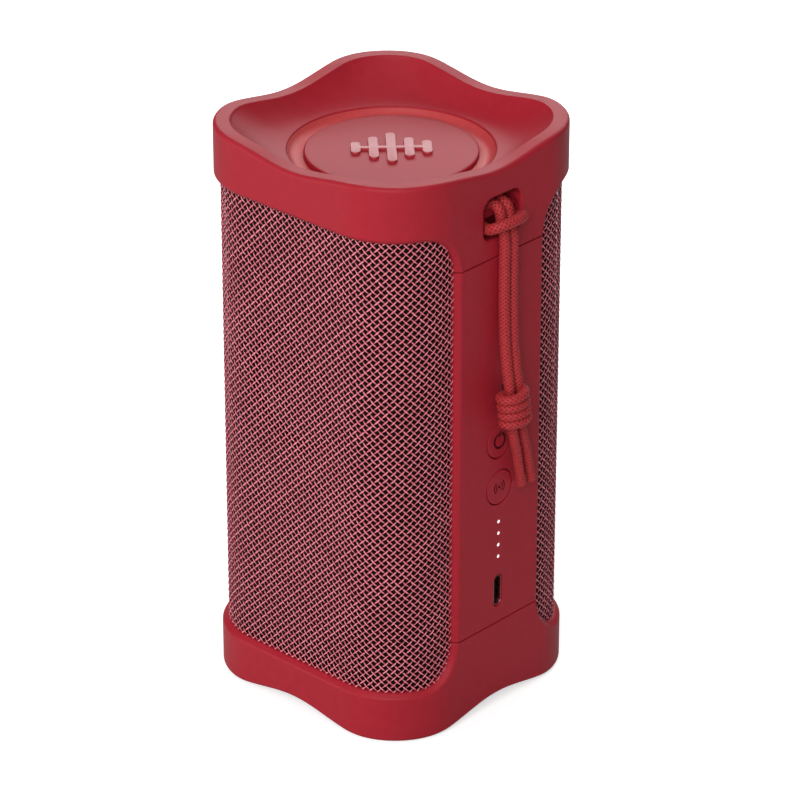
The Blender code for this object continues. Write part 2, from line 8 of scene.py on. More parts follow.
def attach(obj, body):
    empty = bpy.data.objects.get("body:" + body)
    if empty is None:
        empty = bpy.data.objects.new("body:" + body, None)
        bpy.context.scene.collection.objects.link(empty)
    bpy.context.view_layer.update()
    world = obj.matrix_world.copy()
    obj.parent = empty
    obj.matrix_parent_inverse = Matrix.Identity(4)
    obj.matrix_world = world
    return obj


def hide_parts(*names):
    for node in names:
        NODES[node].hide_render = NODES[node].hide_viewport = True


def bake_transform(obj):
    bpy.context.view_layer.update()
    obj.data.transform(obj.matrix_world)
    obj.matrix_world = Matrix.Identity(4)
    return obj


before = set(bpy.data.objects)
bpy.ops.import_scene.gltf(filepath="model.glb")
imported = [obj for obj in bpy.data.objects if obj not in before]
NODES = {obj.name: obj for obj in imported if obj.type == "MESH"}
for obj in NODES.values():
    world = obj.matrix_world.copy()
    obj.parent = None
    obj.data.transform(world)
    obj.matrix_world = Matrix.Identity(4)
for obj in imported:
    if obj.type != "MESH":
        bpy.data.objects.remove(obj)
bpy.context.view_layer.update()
MM = 0.001

# =============================================================== camera
AZ, EL = math.radians(42.8086), math.radians(26.9812)
AIM = Vector((0.0, 0.0, 0.08036))
BACK = Vector((math.sin(AZ) * math.cos(EL), -math.cos(AZ) * math.cos(EL), math.sin(EL)))
cam_data = bpy.data.cameras.new("camera")
cam = bpy.data.objects.new("camera", cam_data)
bpy.context.scene.collection.objects.link(cam)
cam.location = AIM + BACK * 1.1611
cam.rotation_euler = (-BACK).to_track_quat("-Z", "Y").to_euler()
cam_data.sensor_width = 36.0
cam_data.lens = 189.48
cam_data.shift_x = 0.01082
cam_data.shift_y = 0.00334
cam_data.clip_start, cam_data.clip_end = 0.05, 50.0
bpy.context.scene.camera = cam

# =============================================================== sizes, in millimetres
HEIGHT, HALF, CORNER_R, GAP = 165.9, 40.0, 21.5, 0.3
DIP_TOP, DIP_BOT, CROWN_FLAT = 3.0, 3.3, 0.86
WINDOW_R, WINDOW_SIDE, BEVEL = 11.5, 17.3, 1.2
SPINE_TOP, SPINE_BOT = 138.1, 26.4
FLAT = HALF - CORNER_R
ARC = CORNER_R * math.pi / 2
QUARTER = 2 * FLAT + ARC
PERIM = 4 * QUARTER
WELL_R, WELL_Z, PLATE_R, PLATE_TOP = 28.0, 157.1, 23.55, 156.5
POWER_Z, PAIR_Z = 82.7, 68.5
KEY_ZS = {"volume_up": 97.0, "play": 83.0, "volume_down": 69.0}
LED_ZS = (57.8, 54.2, 50.6, 47.0)
USB_Z, DRIVER_Z = 36.3, 98.0
BAR_X, BAR_Z = 37.4, 149.6


# =============================================================== materials
def principled(name):
    m = bpy.data.materials.new(name)
    m.use_nodes = True
    nt = m.node_tree
    return m, nt, nt.nodes["Principled BSDF"]


def finish_mat(name, base, alt, rough, spread=0.05, scale=600.0, grain=2600.0, bump=0.2, depth=0.00002, metal=0.0,
               sheen=0.0, sheen_tint=None, coat=0.0, specular=None, stretch=None, emission=None, transmission=0.0):
    """Two-tone mottling, roughness that varies, and a fine grain, all at the object's own scale."""
    m, nt, p = principled(name)
    co = nt.nodes.new("ShaderNodeTexCoord")
    mp = nt.nodes.new("ShaderNodeMapping")
    nt.links.new(co.outputs["Object"], mp.inputs["Vector"])
    if stretch:
        mp.inputs["Scale"].default_value = stretch
    n1 = nt.nodes.new("ShaderNodeTexNoise")
    n1.inputs["Scale"].default_value = scale
    n1.inputs["Detail"].default_value = 4.0
    nt.links.new(mp.outputs["Vector"], n1.inputs["Vector"])
    mix = nt.nodes.new("ShaderNodeMix")
    mix.data_type = "RGBA"
    mix.inputs[6].default_value = (*base, 1)
    mix.inputs[7].default_value = (*alt, 1)
    ramp = nt.nodes.new("ShaderNodeMapRange")
    ramp.inputs["From Min"].default_value = 0.35
    ramp.inputs["From Max"].default_value = 0.65
    nt.links.new(n1.outputs["Fac"], ramp.inputs["Value"])
    nt.links.new(ramp.outputs["Result"], mix.inputs[0])
    nt.links.new(mix.outputs[2], p.inputs["Base Color"])
    r2 = nt.nodes.new("ShaderNodeMapRange")
    r2.inputs["To Min"].default_value = rough - spread
    r2.inputs["To Max"].default_value = rough + spread
    nt.links.new(n1.outputs["Fac"], r2.inputs["Value"])
    nt.links.new(r2.outputs["Result"], p.inputs["Roughness"])
    if bump > 0:
        n2 = nt.nodes.new("ShaderNodeTexNoise")
        n2.inputs["Scale"].default_value = grain
        n2.inputs["Detail"].default_value = 2.0
        nt.links.new(mp.outputs["Vector"], n2.inputs["Vector"])
        b = nt.nodes.new("ShaderNodeBump")
        b.inputs["Strength"].default_value = bump
        b.inputs["Distance"].default_value = depth
        nt.links.new(n2.outputs["Fac"], b.inputs["Height"])
        nt.links.new(b.outputs["Normal"], p.inputs["Normal"])
    p.inputs["Metallic"].default_value = metal
    if sheen:
        p.inputs["Sheen Weight"].default_value = sheen
        p.inputs["Sheen Roughness"].default_value = 0.5
        if sheen_tint:
            p.inputs["Sheen Tint"].default_value = (*sheen_tint, 1)
    if coat:
        p.inputs["Coat Weight"].default_value = coat
    if specular is not None:
        p.inputs["Specular IOR Level"].default_value = specular
    if emission:
        p.inputs["Emission Color"].default_value = (*emission[0], 1)
        p.inputs["Emission Strength"].default_value = emission[1]
    if transmission:
        p.inputs["Transmission Weight"].default_value = transmission
    return m


def yarn_mat(name, color, rough, spec):
    """One yarn tone: plain numbers, since the weave itself is modelled."""
    m, nt, p = principled(name)
    p.inputs["Base Color"].default_value = (*color, 1)
    p.inputs["Roughness"].default_value = rough
    p.inputs["Specular IOR Level"].default_value = spec
    return m


SHELL = finish_mat("soft_touch_shell", (0.350, 0.0140, 0.0255), (0.372, 0.0155, 0.0280), 0.50, 0.03, 350, 3800, 0.25,
                   0.00002, specular=0.16)
EMBLEM = finish_mat("emblem_red", (0.37, 0.030, 0.043), (0.40, 0.034, 0.048), 0.38, 0.03, 500, 3800, 0.15, 0.00001)
SURROUND = finish_mat("red_rubber", (0.49, 0.050, 0.054), (0.52, 0.056, 0.060), 0.46, 0.04, 400, 3000, 0.25, 0.00002,
                      specular=0.2)
# lit and shaded copies of the yarn colour: painted highlight on the crests, painted half shade on the crowns, painted
# shade on the flanks; the first two in two tones
YARNS = [yarn_mat("yarn_crest_painted_highlight_a", (0.90, 0.325, 0.385), 0.36, 0.45), yarn_mat("yarn_crest_painted_highlight_b", (0.82, 0.265, 0.320), 0.40, 0.45),
         yarn_mat("yarn_crown_painted_half_shade_a", (0.66, 0.150, 0.190), 0.45, 0.4), yarn_mat("yarn_crown_painted_half_shade_b", (0.58, 0.120, 0.155), 0.48, 0.4),
         yarn_mat("yarn_flank_painted_shade", (0.16, 0.014, 0.022), 0.65, 0.1)]
# painted shade: the glyphs are cut into the shell's own red, and this dark colour stands in for the shade inside their
# recesses
PAINTED_RECESS_SHADE = finish_mat("mark_recess_painted_shade", (0.085, 0.005, 0.009), (0.105, 0.007, 0.011), 0.6, 0.05, 500, 3000, 0.2, 0.00002,
                  specular=0.1)
# steel with a red tint: the tint is a painted reflection of the red shell around the port
PORT_PAINTED_REFLECTION = finish_mat("port_steel_painted_reflection", (0.34, 0.13, 0.14), (0.40, 0.16, 0.17), 0.28, 0.05, 700, 2000, 0.1, 0.00001, metal=1.0)
BLACK = finish_mat("black_plastic", (0.006, 0.0010, 0.0018), (0.010, 0.0020, 0.0032), 0.65, 0.1, 400, 2500, 0.35, 0.00004,
                   specular=0.15)
RUBBER = finish_mat("black_rubber", (0.008, 0.004, 0.005), (0.013, 0.007, 0.008), 0.68, 0.08, 500, 2200, 0.3, 0.00003,
                    specular=0.2)
CONE = finish_mat("cone_paper", (0.008, 0.004, 0.005), (0.014, 0.008, 0.009), 0.78, 0.08, 900, 1800, 0.6, 0.00008,
                  specular=0.15)
STEEL = finish_mat("steel", (0.52, 0.52, 0.54), (0.62, 0.62, 0.63), 0.32, 0.08, 700, 2000, 0.15, 0.00001, metal=1.0,
                   stretch=(1, 1, 8))
COPPER = finish_mat("copper_coil", (0.70, 0.30, 0.16), (0.80, 0.40, 0.24), 0.34, 0.06, 300, 900, 0.8, 0.0001, metal=1.0,
                    stretch=(0.2, 12, 0.2))
CELL = finish_mat("cell_wrap", (0.035, 0.13, 0.33), (0.05, 0.17, 0.40), 0.38, 0.08, 200, 700, 0.3, 0.00005)
PCB = finish_mat("circuit_board", (0.012, 0.085, 0.035), (0.03, 0.15, 0.06), 0.42, 0.1, 900, 500, 0.5, 0.00005)
GOLD = finish_mat("contact_gold", (0.80, 0.56, 0.24), (0.86, 0.64, 0.32), 0.3, 0.05, 800, 2000, 0.1, 0.00001, metal=1.0)
LENS = finish_mat("light_pipe", (0.86, 0.87, 0.88), (0.95, 0.95, 0.95), 0.22, 0.05, 1800, 2500, 0.1, 0.00001,
                  emission=((1.0, 0.99, 0.97), 0.9))


def cord_mat():
    m, nt, p = principled("braided_cord")
    # painted shade: the braid's depth attribute, through the ramp below, darkens the crevices between the carriers
    at = nt.nodes.new("ShaderNodeAttribute")
    at.attribute_name = "depth"
    co = nt.nodes.new("ShaderNodeTexCoord")
    n1 = nt.nodes.new("ShaderNodeTexNoise")
    n1.inputs["Scale"].default_value = 2600
    n1.inputs["Detail"].default_value = 2
    nt.links.new(co.outputs["Object"], n1.inputs["Vector"])
    add = nt.nodes.new("ShaderNodeMath")
    add.operation = "MULTIPLY_ADD"
    add.inputs[1].default_value = 0.5
    nt.links.new(n1.outputs["Fac"], add.inputs[0])
    nt.links.new(at.outputs["Fac"], add.inputs[2])
    rp = nt.nodes.new("ShaderNodeValToRGB")
    rp.color_ramp.elements[0].position = 0.60
    rp.color_ramp.elements[0].color = (0.030, 0.001, 0.0015, 1)
    rp.color_ramp.elements[1].position = 1.0
    rp.color_ramp.elements[1].color = (0.45, 0.028, 0.033, 1)
    nt.links.new(add.outputs["Value"], rp.inputs["Fac"])
    nt.links.new(rp.outputs["Color"], p.inputs["Base Color"])
    p.inputs["Roughness"].default_value = 0.62
    p.inputs["Specular IOR Level"].default_value = 0.25
    p.inputs["Sheen Weight"].default_value = 0.04
    p.inputs["Sheen Roughness"].default_value = 0.5
    p.inputs["Sheen Tint"].default_value = (1.0, 0.5, 0.5, 1)
    return m


CORD = cord_mat()


# =============================================================== mesh helpers
def from_arrays(name, co_mm, polys, mats, poly_mat=None, angle=35.0, weighted=False):
    """Mesh object from points in millimetres and a list of index arrays, each (count, corners)."""
    me = bpy.data.meshes.new(name)
    co = np.asarray(co_mm, float) * MM
    me.vertices.add(len(co))
    me.vertices.foreach_set("co", co.astype(np.float32).ravel())
    loops = np.concatenate([p.ravel() for p in polys]).astype(np.int32)
    totals = np.concatenate([np.full(len(p), p.shape[1], np.int32) for p in polys])
    starts = np.concatenate([[0], np.cumsum(totals)[:-1]]).astype(np.int32)
    me.loops.add(len(loops))
    me.loops.foreach_set("vertex_index", loops)
    me.polygons.add(len(totals))
    me.polygons.foreach_set("loop_start", starts)
    me.polygons.foreach_set("loop_total", totals)
    if poly_mat is not None:
        me.polygons.foreach_set("material_index", np.asarray(poly_mat, np.int32))
    me.update(calc_edges=True)
    me.validate()
    for m in (mats if isinstance(mats, (list, tuple)) else [mats]):
        me.materials.append(m)
    ob = bpy.data.objects.new(name, me)
    bpy.context.scene.collection.objects.link(ob)
    smooth(ob, angle, weighted)
    return ob


def smooth(ob, angle=35.0, weighted=False):
    ob.data.shade_smooth()
    if angle is not None:
        ob.data.set_sharp_from_angle(angle=math.radians(angle))
    if weighted:
        w = ob.modifiers.new("weighted", "WEIGHTED_NORMAL")
        w.keep_sharp = True
        w.weight = 60


def grid_faces(n, m, wrap_n=False, wrap_m=False, base=0):
    i = np.arange(n if wrap_n else n - 1)
    k = np.arange(m if wrap_m else m - 1)
    i, k = np.meshgrid(i, k, indexing="ij")
    i, k = i.ravel(), k.ravel()
    i2, k2 = (i + 1) % n, (k + 1) % m
    return np.stack([i * m + k, i2 * m + k, i2 * m + k2, i * m + k2], 1) + base


def boolean(ob, cutter, op="DIFFERENCE", keep_finish=False):
    mod = ob.modifiers.new("b", "BOOLEAN")
    if keep_finish:
        mod.material_mode = "TRANSFER"
    mod.operation, mod.solver, mod.object = op, "EXACT", cutter
    dg = bpy.context.evaluated_depsgraph_get()
    new = bpy.data.meshes.new_from_object(ob.evaluated_get(dg))
    old = ob.data
    ob.modifiers.remove(mod)
    ob.data = new
    new.name = old.name
    bpy.data.meshes.remove(old)
    bpy.data.objects.remove(cutter, do_unlink=True)


def lathe(name, profile, segs, axis, centre, mat, closed_ring=False, angle=35.0, weighted=False):
    """Revolve (radius, height) points about an axis; ends on the axis close themselves."""
    a = 2 * np.pi * np.arange(segs) / segs
    verts, quads, tris = [], [], []
    rings, n = [], 0
    for r, h in profile:
        if r < 1e-9:
            verts.append(np.array([[0.0, 0.0, h]]))
            rings.append(np.full(segs, n))
            n += 1
        else:
            verts.append(np.stack([r * np.cos(a), r * np.sin(a), np.full(segs, h)], 1))
            rings.append(np.arange(n, n + segs))
            n += segs
    v = np.concatenate(verts)
    if axis == "Y":
        v = v[:, [0, 2, 1]] * [1, 1, 1]
    elif axis == "X":
        v = v[:, [2, 0, 1]]
    v = v + np.asarray(centre, float)
    m = len(profile)
    for i in range(m if closed_ring else m - 1):
        p, q = rings[i], rings[(i + 1) % m]
        p2, q2 = np.roll(p, -1), np.roll(q, -1)
        if p[0] == p[-1]:
            tris.append(np.stack([p, q2, q], 1))
        elif q[0] == q[-1]:
            tris.append(np.stack([p, p2, q], 1))
        else:
            quads.append(np.stack([p, p2, q2, q], 1))
    polys = []
    if quads:
        polys.append(np.concatenate(quads))
    if tris:
        polys.append(np.concatenate(tris))
    ob = from_arrays(name, v, polys, mat, angle=angle, weighted=weighted)
    outward(ob)
    return ob


def outward(ob):
    import bmesh
    bm = bmesh.new()
    bm.from_mesh(ob.data)
    bmesh.ops.recalc_face_normals(bm, faces=bm.faces)
    if bm.calc_volume(signed=True) < 0:
        bmesh.ops.reverse_faces(bm, faces=bm.faces)
    bm.to_mesh(ob.data)
    bm.free()


def prism(name, outline, lo, hi, axis, mat, angle=35.0):
    o = np.asarray(outline, float)
    n = len(o)

    def put(w):
        w = np.full(n, w)
        return {"X": np.stack([w, o[:, 0], o[:, 1]], 1), "Y": np.stack([o[:, 0], w, o[:, 1]], 1),
                "Z": np.stack([o[:, 0], o[:, 1], w], 1)}[axis]
    v = np.concatenate([put(lo), put(hi)])
    i = np.arange(n)
    j = (i + 1) % n
    ob = from_arrays(name, v, [np.stack([i, j, j + n, i + n], 1), i[::-1][None, :], (i + n)[None, :]], mat, angle=angle)
    outward(ob)
    return ob


def loft(name, rings, mat, angle=35.0, weighted=False):
    """Closed body through rings of equal count, first and last ring capped."""
    r = np.asarray(rings, float)
    n, m = r.shape[:2]
    k = np.arange(m)
    ob = from_arrays(name, r.reshape(-1, 3), [grid_faces(n, m, False, True), k[::-1][None, :],
                                             (k + (n - 1) * m)[None, :]], mat, angle=angle)
    outward(ob)
    smooth(ob, angle, weighted)
    return ob


def put(ob, body, slot=None, replaces=()):
    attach(ob, body)
    if replaces:
        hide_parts(*replaces)
    return ob


def obround(half_len, r, n=24):
    pts = []
    for a0, s in ((0, 1), (math.pi, -1)):
        for k in range(n + 1):
            a = a0 + math.pi * k / n
            pts.append((r * math.cos(a), s * (half_len - r) + r * math.sin(a)))
    return pts


def round_rect(hu, hv, r, n=12, cu=0.0, cv=0.0):
    pts = []
    for qx, qy, a0 in ((1, 1, 0), (-1, 1, 90), (-1, -1, 180), (1, -1, 270)):
        for k in range(n + 1):
            a = math.radians(a0 + 90 * k / n)
            pts.append((cu + qx * (hu - r) + r * math.cos(a), cv + qy * (hv - r) + r * math.sin(a)))
    return pts


# =============================================================== cords first
def route(ctrl, step):
    """Centripetal Catmull-Rom curve through the control points, sampled evenly, in millimetres."""
    p = np.asarray(ctrl, float)
    p = np.vstack([2 * p[0] - p[1], p, 2 * p[-1] - p[-2]])
    fine = []
    for i in range(1, len(p) - 2):
        p0, p1, p2, p3 = p[i - 1:i + 3]
        t0 = 0.0
        t1 = t0 + np.linalg.norm(p1 - p0) ** 0.5
        t2 = t1 + np.linalg.norm(p2 - p1) ** 0.5
        t3 = t2 + np.linalg.norm(p3 - p2) ** 0.5
        t = np.linspace(t1, t2, 25)[:-1, None]
        a1 = (t1 - t) / (t1 - t0) * p0 + (t - t0) / (t1 - t0) * p1
        a2 = (t2 - t) / (t2 - t1) * p1 + (t - t1) / (t2 - t1) * p2
        a3 = (t3 - t) / (t3 - t2) * p2 + (t - t2) / (t3 - t2) * p3
        b1 = (t2 - t) / (t2 - t0) * a1 + (t - t0) / (t2 - t0) * a2
        b2 = (t3 - t) / (t3 - t1) * a2 + (t - t1) / (t3 - t1) * a3
        fine.append((t2 - t) / (t2 - t1) * b1 + (t - t1) / (t2 - t1) * b2)
    fine = np.vstack(fine + [p[-2:-1]])
    for _ in range(30):                      # takes the last corners out of the curve
        fine[1:-1] = 0.5 * fine[1:-1] + 0.25 * (fine[:-2] + fine[2:])
    run = np.concatenate([[0], np.cumsum(np.linalg.norm(np.diff(fine, axis=0), axis=1))])
    n = max(8, int(round(run[-1] / step)))
    d = np.linspace(0, run[-1], n + 1)
    return np.stack([np.interp(d, run, fine[:, k]) for k in range(3)], 1), d


def frames(pts, up=(1.0, 0.0, 0.0)):
    t = np.gradient(pts, axis=0)
    t /= np.linalg.norm(t, axis=1)[:, None]
    u = np.zeros_like(t)
    v = np.asarray(up, float)
    v = v - t[0] * (v @ t[0])
    if np.linalg.norm(v) < 1e-3:
        v = np.array([0.0, 1.0, 0.0]) - t[0] * t[0][1]
    u[0] = v / np.linalg.norm(v)
    for i in range(1, len(t)):
        v = u[i - 1] - t[i] * (u[i - 1] @ t[i])
        u[i] = v / np.linalg.norm(v)
    return t, u, np.cross(t, u)


CARRIERS, LEAD, AROUND = 6, 6.4, 60


def braid(u, phi, relief=0.22):
    """Surface height of a one-over-one braid, u mm along and phi round, and a painted shade that is darkest in its
    crevices.
    """
    a = phi * CARRIERS / (2 * np.pi) - u * CARRIERS / LEAD
    b = phi * CARRIERS / (2 * np.pi) + u * CARRIERS / LEAD
    ia, ib = np.round(a), np.round(b)
    ra = np.sqrt(np.clip(1 - (2.05 * (a - ia)) ** 2, 0, 1))
    rb = np.sqrt(np.clip(1 - (2.05 * (b - ib)) ** 2, 0, 1))
    oa = np.cos(np.pi * (b + ia))
    ob_ = -np.cos(np.pi * (a + ib))
    ha = ra * 0.75 + oa * 0.55
    hb = rb * 0.75 + ob_ * 0.55
    h = np.maximum(ha, hb)
    h = np.clip(h, -0.1, 1.3)
    return relief * (h - 1.0), (h + 0.1) / 1.4


def rope(name, ctrl, radius, step=0.14, up=(1, 0, 0), u0=0.0, round_ends=(False, True), relief=0.22):
    """Braided cord along a route; radius is a number or a function of distance and total length."""
    pts, d = route(ctrl, step)
    n = len(pts)
    t, u, v = frames(pts, up)
    phi = 2 * np.pi * np.arange(AROUND) / AROUND
    uu, pp = np.meshgrid(d + u0, phi, indexing="ij")
    rad = np.full(n, radius) if not callable(radius) else radius(d, d[-1], pts)
    h, shade = braid(uu, pp, relief)
    rr = rad[:, None] + h
    co = pts[:, None] + rr[..., None] * (np.cos(pp)[..., None] * u[:, None] + np.sin(pp)[..., None] * v[:, None])
    polys = [grid_faces(n, AROUND, False, True)]
    co = co.reshape(-1, 3)
    sh = shade.reshape(-1)
    base = len(co)
    caps = []
    extra, extra_sh = [], []
    for end, sign in ((0, -1), (n - 1, 1)):
        ring = np.arange(end * AROUND, (end + 1) * AROUND)
        rounded = round_ends[0 if end == 0 else 1]
        prev = ring
        if rounded:
            for k, (f, out) in enumerate(((0.93, 0.10), (0.78, 0.22), (0.5, 0.32), (0.22, 0.36))):
                ringpts = pts[end] + (co[ring] - pts[end]) * f + t[end] * sign * out
                extra.append(ringpts)
                # the rounded ends take a fixed, middling value of the painted shade
                extra_sh.append(np.full(AROUND, 0.30))
                cur = base + np.arange(AROUND)
                base += AROUND
                j = np.roll(np.arange(AROUND), -1)
                q = np.stack([prev, prev[j], cur[j], cur], 1)
                caps.append(q if sign > 0 else q[:, ::-1])
                prev = cur
        polys_end = prev if sign > 0 else prev[::-1]
        caps.append(polys_end[None, :])
    if extra:
        co = np.vstack([co] + extra)
        sh = np.concatenate([sh] + extra_sh)
    quads = np.concatenate([polys[0]] + [c for c in caps if c.shape[1] == 4])
    ends = [c for c in caps if c.shape[1] != 4]
    ob = from_arrays(name, co, [quads] + ends, CORD, angle=None)
    outward(ob)
    # the depth attribute carries the painted crevice shade that the cord material reads
    at = ob.data.attributes.new("depth", "FLOAT", "POINT")
    at.data.foreach_set("value", sh.astype(np.float32))
    return ob, pts, d[-1]


STRAND = {
    "left": [(40.35, -1.2, 149.2), (40.6, -1.2, 147.8), (40.95, -1.2, 146.4), (41.4, -1.2, 144.9), (41.75, -1.2, 143.0),
             (41.85, -1.25, 139.0), (41.9, -1.35, 134.0), (42.15, -1.55, 124.0), (42.8, -1.75, 114.0),
             (43.5, -1.85, 108.0), (44.3, -1.85, 103.0), (44.75, -1.5, 98.5), (44.8, -0.9, 94.0), (44.6, -0.4, 90.0),
             (44.4, 0.0, 87.4), (44.2, 0.9, 84.3), (43.4, 2.9, 79.5), (42.85, 4.6, 73.5), (42.3, 6.4, 67.8)],
    "right": [(40.35, 2.05, 149.2), (40.6, 2.05, 147.8), (40.95, 2.05, 146.4), (41.4, 2.05, 144.9), (41.75, 2.05, 143.0),
              (41.85, 2.0, 139.0), (41.9, 1.9, 134.0), (42.15, 1.7, 124.0), (42.8, 1.5, 114.0), (43.5, 1.45, 108.0),
              (44.3, 1.5, 103.0), (44.75, 1.95, 98.5), (44.75, 2.7, 94.0), (44.5, 3.4, 90.0), (44.2, 3.9, 87.4),
              (44.0, 4.7, 84.3), (43.3, 6.8, 79.5), (42.8, 8.6, 73.5), (42.3, 10.5, 67.7)],
}


def strand_radius(d, total, pts):
    z = pts[:, 2]
    r = np.full(len(d), 1.48)
    r = np.where(z < 90.0, 1.36, r)
    r = np.where(z < 80.4, 1.27, r)
    squeeze = np.clip(np.minimum((100.8 - z) / 1.5, (z - 88.6) / 1.5), 0, 1)
    r = r - 0.25 * squeeze
    r = np.where(np.abs(z - 80.4) < 0.12, 1.20, r)
    r = np.where((z > 80.5) & (z < 81.1), 1.42, r)
    return r


cords = {}
for side, up in (("left", (1, 0, 0)), ("right", (1, 0, 0))):
    ob, pts, length = rope("strap_cord_" + side, STRAND[side], strand_radius, u0=0.0 if side == "left" else 1.7)
    cords[side] = (ob, pts, length)


def turn(y0, y1, y2, y3, y4):
    """Half turn of the cord round the bar, from the front over its top and back under it."""
    w = 2.85
    out = []
    for deg, y in ((0, y0), (40, y0), (90, y1), (140, y2), (185, y3), (230, y3 * 0.35 + y4 * 0.65), (275, y4)):
        a = math.radians(deg)
        out.append((BAR_X + w * math.cos(a), y, BAR_Z + w * math.sin(a)))
    return out


left_turn = turn(-1.2, -1.35, -2.2, -3.2, -4.9)
right_turn = turn(2.05, 2.15, 2.9, 3.8, 5.4)
HITCH = ([(40.35, -1.2, 149.2)] + left_turn[1:] +
         [(39.7, -5.3, 146.9), (41.6, -5.2, 147.75), (43.0, -3.7, 148.5), (43.6, -1.4, 148.7), (43.7, 0.5, 148.75),
          (43.5, 2.7, 148.75), (42.8, 4.7, 148.5), (41.4, 5.9, 147.8), (39.6, 6.0, 147.0)] +
         right_turn[:0:-1] + [(40.35, 2.05, 149.2)])
hitch, _, hitch_len = rope("strap_hitch_loop", HITCH, 1.48, step=0.14, up=(0, 1, 0), round_ends=(False, False))

# four wraps round both strands, one continuous helix with tucked ends
wraps = []
TURNS, PITCH = 4.0, 2.56
KX, KY, KA, KB = 44.82, 0.85, 2.75, 3.95
for k in range(int(TURNS * 20) + 1):
    ph = -math.pi + 2 * math.pi * k / 20          # starts and ends behind
    g = ph - 0.45 * math.sin(ph)
    z = 94.85 - TURNS * PITCH / 2 + PITCH * (g + math.pi) / (2 * math.pi)
    drift = (z - 95.0) * -0.16                    # the knot leans with the strands
    wraps.append((KX + KA * math.cos(ph), KY - 1.0 + drift + KB * math.sin(ph), z))
knot, _, knot_len = rope("strap_knot_wraps", wraps, 1.32, step=0.15, up=(0, 0, 1), round_ends=(False, False))

for side, nodes in (("left", ("strap_strand_left", "strap_tail_left")), ("right", ("strap_strand_right", "strap_tail_right"))):
    ob, pts, length = cords[side]
    put(ob, "cabinet", "braided_cord", nodes)
put(hitch, "cabinet", "braided_cord", ("strap_hitch", "strap_bight"))
put(knot, "cabinet", "braided_cord", ("strap_knot",))


# =============================================================== rounded-square plan
def station(s):
    s = np.asarray(s, float) % PERIM
    k = (((s + FLAT) // QUARTER).astype(int)) % 4
    local = np.where(s + FLAT < PERIM, s - k * QUARTER, s - PERIM)
    th = np.clip((local - FLAT) / CORNER_R, 0, None)
    flat = local <= FLAT
    nx = np.where(flat, 1.0, np.cos(th))
    ny = np.where(flat, 0.0, np.sin(th))
    px = np.where(flat, HALF, FLAT + CORNER_R * np.cos(th))
    py = np.where(flat, local, FLAT + CORNER_R * np.sin(th))
    c = np.array([1, 0, -1, 0])[k]
    d = np.array([0, 1, 0, -1])[k]
    return c * px - d * py, d * px + c * py, c * nx - d * ny, d * nx + c * ny


def spine_distance(s):
    s = np.asarray(s, float) % (PERIM / 2)
    return np.minimum(s, PERIM / 2 - s)


def crown(s):
    q = np.asarray(s, float) % QUARTER
    q = np.minimum(q, QUARTER - q)
    t = q / (QUARTER / 2)
    return np.where(t > CROWN_FLAT, 1.0, 1 - (1 - t * t) ** 5)


def window_rise(q, side, radius):
    q = np.asarray(q, float)
    return np.where(q <= side, 0.0, np.where(q >= side + radius, radius,
                    np.sqrt(np.clip(radius ** 2 - (radius - (q - side)) ** 2, 0, None))))


def cap_stations():
    q = list(np.linspace(0, 15.4, 12)) + [WINDOW_SIDE - BEVEL, WINDOW_SIDE]
    for side, r in ((WINDOW_SIDE, WINDOW_R), (WINDOW_SIDE - BEVEL, WINDOW_R + BEVEL)):
        q += [side + r * (1 - math.cos(math.radians(a))) for a in np.linspace(0, 90, 17)]
    q += list(np.linspace(30.0, QUARTER - FLAT, 18)) + list(np.linspace(QUARTER - FLAT, QUARTER, 16)) + [FLAT]
    q = sorted(q)
    out = [q[0]]
    for v in q[1:]:
        if v - out[-1] > 0.12:
            out.append(v)
    out[-1] = QUARTER
    s = []
    for base in (0.0, PERIM / 2):
        s += [base + v for v in out] + [base + 2 * QUARTER - v for v in out[-2:0:-1]]
    return np.array(sorted(s))


